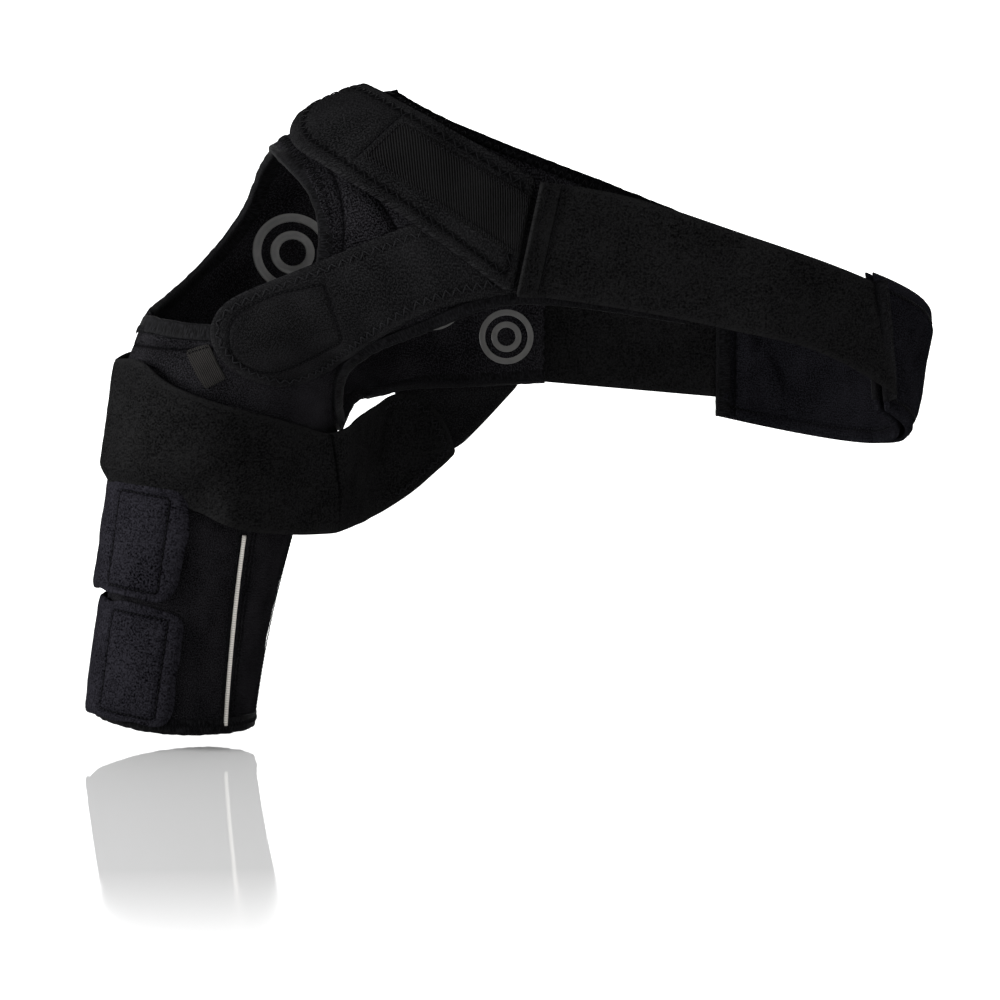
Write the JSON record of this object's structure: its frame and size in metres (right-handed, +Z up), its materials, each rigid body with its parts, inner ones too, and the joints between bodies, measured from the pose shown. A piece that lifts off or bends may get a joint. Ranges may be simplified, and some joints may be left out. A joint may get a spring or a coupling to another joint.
{
  "type": "shoulder brace with compression straps",
  "caption": "Neoprene shoulder wrap with an arm cuff, two hook tabs, an arm strap and an elastic chest loop with an underarm pad.",
  "frame": {"origin": "centre of the arm cuff's lower opening, on the cuff's axis", "axes": "+X across the chest from the wrapped shoulder, +Y towards the wearer's back, +Z up"},
  "size_m": [0.5104, 0.2292, 0.3979],
  "materials": {
    "panel_fabric": "satin",
    "wing_fabric": "satin",
    "tab_fabric": "satin",
    "binding_tape": "satin",
    "elastic_weave": "satin",
    "ribbed_webbing": "satin",
    "hook_patch": "matte",
    "pad_fabric": "satin",
    "silicone_grip": "satin",
    "reflective_cord": "satin",
    "label_weave": "satin"
  },
  "bodies": {
    "root": {"arm_sleeve": "panel_fabric", "sleeve_hem_binding": "binding_tape", "reflective_piping": "reflective_cord", "front_panel": "panel_fabric", "back_panel": "panel_fabric", "shoulder_yoke": "panel_fabric", "deltoid_binding": "binding_tape", "neck_binding": "binding_tape", "front_lower_binding": "binding_tape", "back_lower_binding": "binding_tape", "grip_print_shoulder": "silicone_grip", "grip_print_middle": "silicone_grip", "grip_print_tip": "silicone_grip", "woven_label": "label_weave", "lower_cuff_strap": "tab_fabric", "upper_cuff_strap": "tab_fabric", "arm_strap": "elastic_weave", "arm_strap_flap": "panel_fabric", "rear_elastic_seam": "elastic_weave"},
    "lower_cuff_flap": {"lower_cuff_tab": "tab_fabric", "lower_cuff_tab_hook": "hook_patch"},
    "upper_cuff_flap": {"upper_cuff_tab": "tab_fabric", "upper_cuff_tab_hook": "hook_patch"},
    "arm_strap_end": {"arm_strap_tab": "elastic_weave", "arm_strap_tab_hook": "hook_patch"},
    "rear_loop": {"rear_elastic": "elastic_weave", "pad_outer": "pad_fabric", "pad_inner": "pad_fabric", "pad_front_binding": "binding_tape", "pad_back_binding": "binding_tape"},
    "front_loop": {"front_elastic": "elastic_weave", "front_elastic_fold": "elastic_weave", "strap_junction": "wing_fabric"},
    "upper_wing": {"upper_wing_tab": "wing_fabric", "upper_wing_hook": "hook_patch", "upper_wing_webbing": "ribbed_webbing"},
    "lower_wing": {"lower_wing_tab": "wing_fabric", "lower_wing_hook": "hook_patch"}
  },
  "joints": [
    {"name": "lower_cuff_peel", "type": "hinge", "parent": "root", "child": "lower_cuff_flap", "pos_m": [-0.05068, 0, 0.05075], "axis": [-0.1426, 0, -0.9898], "range_deg": [0, 110]},
    {"name": "upper_cuff_peel", "type": "hinge", "parent": "root", "child": "upper_cuff_flap", "pos_m": [-0.04492, 0, 0.12367], "axis": [-0.1426, 0, -0.9898], "range_deg": [0, 110]},
    {"name": "arm_strap_peel", "type": "hinge", "parent": "root", "child": "arm_strap_end", "pos_m": [0.1366, 0.1018, 0.174], "axis": [0, 0, -1], "range_deg": [0, 70]},
    {"name": "rear_loop_swing", "type": "hinge", "parent": "root", "child": "rear_loop", "pos_m": [0.2225, 0.1074, 0.243], "axis": [0, 0, 1], "range_deg": [0, 25]},
    {"name": "front_loop_open", "type": "hinge", "parent": "rear_loop", "child": "front_loop", "pos_m": [0.4187, -0.0889, 0.239], "axis": [-0.217, -0.2026, 0.9549], "range_deg": [0, 100]},
    {"name": "upper_wing_peel", "type": "hinge", "parent": "front_loop", "child": "upper_wing", "pos_m": [0.2078, -0.1134, 0.295], "axis": [0.2033, 0, 0.9791], "range_deg": [0, 75]},
    {"name": "lower_wing_peel", "type": "hinge", "parent": "front_loop", "child": "lower_wing", "pos_m": [0.1448, -0.1053, 0.2777], "axis": [-0.3062, 0, 0.952], "range_deg": [0, 75]}
  ],
  "couplings": [
    {"joint": "rear_loop_swing", "follows": "front_loop_open", "ratio": 0.25}
  ]
}
